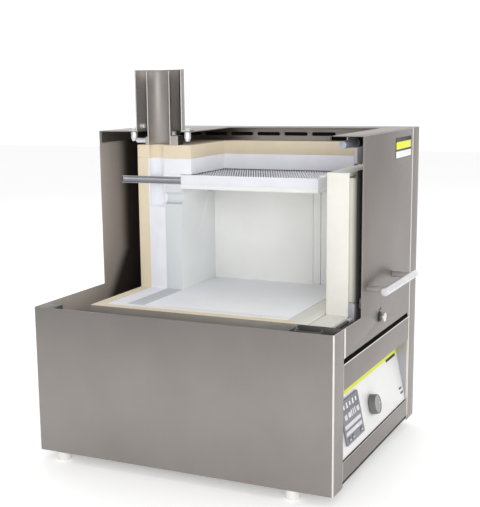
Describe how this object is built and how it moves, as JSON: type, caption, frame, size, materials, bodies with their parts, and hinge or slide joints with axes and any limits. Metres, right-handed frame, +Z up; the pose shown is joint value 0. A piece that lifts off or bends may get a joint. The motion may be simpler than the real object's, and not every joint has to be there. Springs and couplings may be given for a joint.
{
  "type": "muffle furnace",
  "caption": "Bench muffle furnace with a lift door, cut open to show its fibre-lined chamber, heating plates, flue and sloping control panel.",
  "frame": {"origin": "centre of the overall box, at the level of the bench under the feet", "axes": "+Z up, -Y towards the front with the door and the control panel, +X to the right seen from the front"},
  "size_m": [0.415, 0.552, 0.6095],
  "materials": {
    "side_sheet": "satin",
    "front_sheet": "satin",
    "inner_steel": "satin",
    "foot_plastic": "matte",
    "backup_board": "matte",
    "fibre_board": "matte",
    "dense_ceramic": "matte",
    "bright_steel": "satin",
    "polished_steel": "gloss",
    "spring_steel": "satin",
    "panel_enamel": "satin",
    "grey_plastic": "matte",
    "dark_plastic": "matte",
    "key_plastic": "matte"
  },
  "bodies": {
    "casing": {"left_side_panel": "side_sheet", "right_side_panel": "side_sheet", "rear_panel": "side_sheet", "top_cover": "side_sheet", "upper_fascia": "front_sheet", "lower_fascia": "front_sheet", "base_plate": "inner_steel", "inner_frame": "inner_steel", "corner_channels": "inner_steel", "slotted_shield": "inner_steel", "insulation_tray": "inner_steel", "front_strips": "inner_steel", "tie_rod_supports": "inner_steel", "arm_mount": "inner_steel", "feet": "foot_plastic", "backup_walls": "backup_board", "backup_rear": "backup_board", "backup_roof": "backup_board", "inner_roof": "fibre_board", "inner_walls": "fibre_board", "front_collar": "fibre_board", "rear_plate": "dense_ceramic", "chamber_floor": "dense_ceramic", "side_heaters": "dense_ceramic", "mouth_bricks": "dense_ceramic", "ceiling_carrier": "dense_ceramic", "ceiling_heater": "dense_ceramic", "heater_terminals": "dense_ceramic", "flue_sleeve": "bright_steel", "flue_bolts": "bright_steel", "exhaust_tube": "bright_steel", "fresh_air_tube": "bright_steel", "tie_rod": "bright_steel", "thermocouple": "bright_steel", "tube_clamp": "bright_steel", "balance_spring": "spring_steel", "control_panel": "panel_enamel", "controller_bezel": "grey_plastic", "power_modules": "grey_plastic", "controller_housing": "dark_plastic", "switch_body": "dark_plastic", "cable_gland": "dark_plastic"},
    "lower_arm": {"lower_arm": "bright_steel"},
    "upper_arm": {"upper_arm": "bright_steel"},
    "door": {"door_outer": "front_sheet", "door_brackets": "front_sheet", "door_plug": "fibre_board", "door_backing": "backup_board", "door_fittings": "bright_steel", "handle_bar": "polished_steel", "handle_standoffs": "polished_steel", "air_bush": "dark_plastic"},
    "air_knob": {"air_knob": "polished_steel"},
    "mains_knob": {"mains_knob": "grey_plastic"},
    "upper_key_1": {"upper_key_1": "key_plastic"},
    "upper_key_2": {"upper_key_2": "key_plastic"},
    "upper_key_3": {"upper_key_3": "key_plastic"},
    "lower_key_1": {"lower_key_1": "key_plastic"},
    "lower_key_2": {"lower_key_2": "key_plastic"},
    "lower_key_3": {"lower_key_3": "key_plastic"}
  },
  "joints": [
    {"name": "door_lift", "type": "hinge", "parent": "casing", "child": "lower_arm", "pos_m": [0.17, -0.072, 0.351], "axis": [-1, 0, 0], "range_deg": [0, 99]},
    {"name": "upper_arm_lift", "type": "hinge", "parent": "casing", "child": "upper_arm", "pos_m": [0.17, -0.072, 0.406], "axis": [-1, 0, 0], "range_deg": [0, 99]},
    {"name": "door_level", "type": "hinge", "parent": "lower_arm", "child": "door", "pos_m": [0.17, -0.135, 0.215], "axis": [-1, 0, 0], "range_deg": [-99, 0]},
    {"name": "mains_knob_turn", "type": "hinge", "parent": "casing", "child": "mains_knob", "pos_m": [0, -0.22817, 0.09039], "axis": [0, -0.9788, 0.205], "range_deg": [-90, 0]},
    {"name": "air_knob_slide", "type": "slide", "parent": "door", "child": "air_knob", "axis": [0, -1, 0], "range_m": [0, 0.006]},
    {"name": "upper_key_1_press", "type": "slide", "parent": "casing", "child": "upper_key_1", "axis": [0, 0.9788, -0.205], "range_m": [0, 0.001], "stiffness_N_per_m": 300, "springref_m": -0.001},
    {"name": "upper_key_2_press", "type": "slide", "parent": "casing", "child": "upper_key_2", "axis": [0, 0.9788, -0.205], "range_m": [0, 0.001], "stiffness_N_per_m": 300, "springref_m": -0.001},
    {"name": "upper_key_3_press", "type": "slide", "parent": "casing", "child": "upper_key_3", "axis": [0, 0.9788, -0.205], "range_m": [0, 0.001], "stiffness_N_per_m": 300, "springref_m": -0.001},
    {"name": "lower_key_1_press", "type": "slide", "parent": "casing", "child": "lower_key_1", "axis": [0, 0.9788, -0.205], "range_m": [0, 0.001], "stiffness_N_per_m": 300, "springref_m": -0.001},
    {"name": "lower_key_2_press", "type": "slide", "parent": "casing", "child": "lower_key_2", "axis": [0, 0.9788, -0.205], "range_m": [0, 0.001], "stiffness_N_per_m": 300, "springref_m": -0.001},
    {"name": "lower_key_3_press", "type": "slide", "parent": "casing", "child": "lower_key_3", "axis": [0, 0.9788, -0.205], "range_m": [0, 0.001], "stiffness_N_per_m": 300, "springref_m": -0.001}
  ],
  "couplings": [
    {"joint": "upper_arm_lift", "follows": "door_lift", "ratio": 1},
    {"joint": "door_level", "follows": "door_lift", "ratio": -1}
  ]
}
